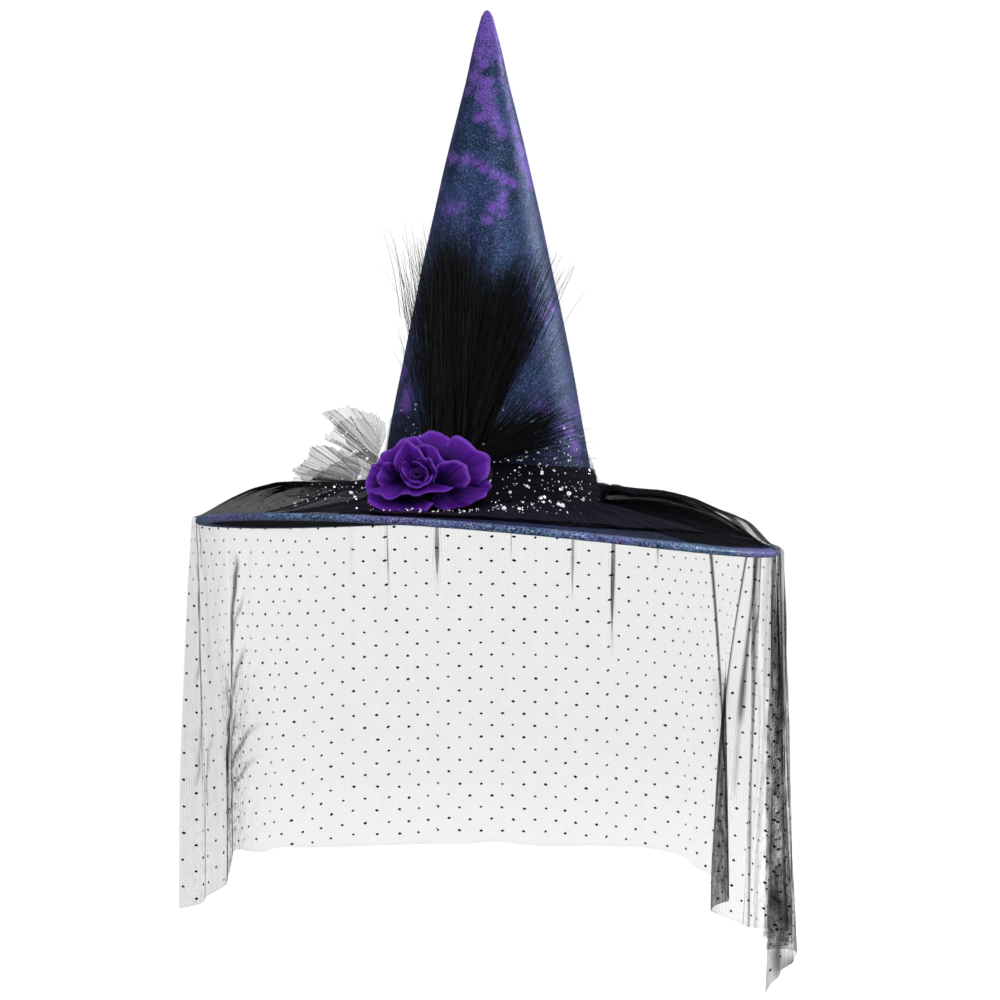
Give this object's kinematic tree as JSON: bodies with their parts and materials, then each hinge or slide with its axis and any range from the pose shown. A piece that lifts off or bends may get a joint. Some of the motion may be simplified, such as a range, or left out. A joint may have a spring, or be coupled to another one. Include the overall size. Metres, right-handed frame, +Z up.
{
  "type": "witch hat",
  "caption": "Pointed velvet costume hat with a wired wide brim, dotted back veil, gathered glitter tulle, fabric rose and black feather spray.",
  "frame": {"origin": "centre of the head opening, level with the underside of the brim", "axes": "+Z up the crown's axis to its tip, -Y to the front where the rose sits, +X to the right as seen from the front"},
  "size_m": [0.5345, 0.5222, 0.8459],
  "materials": {
    "velvet": "crushed shimmer velvet, dark teal and navy with violet blotches",
    "stiffening": "stiff pressed felt interlining",
    "lining": "plain woven black lining",
    "sweatband": "ribbed black grosgrain",
    "wire": "bright drawn wire",
    "crimp_sleeve": "crimped tube",
    "binding": "shimmer velvet bias binding, blue with violet blotches",
    "tape": "narrow black twill tape",
    "dotted_net": "fine black net with flocked dots",
    "plain_tulle": "soft black tulle in many layers",
    "glitter_tulle": "black tulle with silver glitter",
    "thread": "black sewing thread",
    "felt": "black wool felt",
    "rose_peg": "matt moulded stem",
    "petal": "violet poplin, sized and heat-cupped",
    "quill": "dyed horn",
    "feather": "dyed black hair-like barbs"
  },
  "bodies": {
    "root": {"crown_cover": "velvet", "crown_stiffener": "stiffening", "crown_lining": "lining", "sweatband": "sweatband", "brim_cover": "velvet", "brim_stiffener": "stiffening", "brim_lining": "lining", "brim_wire": "wire", "wire_sleeve": "crimp_sleeve", "brim_binding": "binding", "veil_tape": "tape", "veil": "dotted_net", "back_tulle": "plain_tulle", "front_tulle": "glitter_tulle", "tulle_fan": "glitter_tulle", "hat_band": "glitter_tulle", "thread_tacks": "thread", "rose_backing": "felt", "rose_peg": "rose_peg", "rose_outer_petals": "petal", "rose_middle_petals": "petal", "rose_inner_petals": "petal", "rose_bud": "petal", "feather_pad": "felt", "feather_quills": "quill", "plume_centre": "feather", "plume_left": "feather", "plume_right": "feather", "plume_low": "feather"}
  },
  "joints": []
}
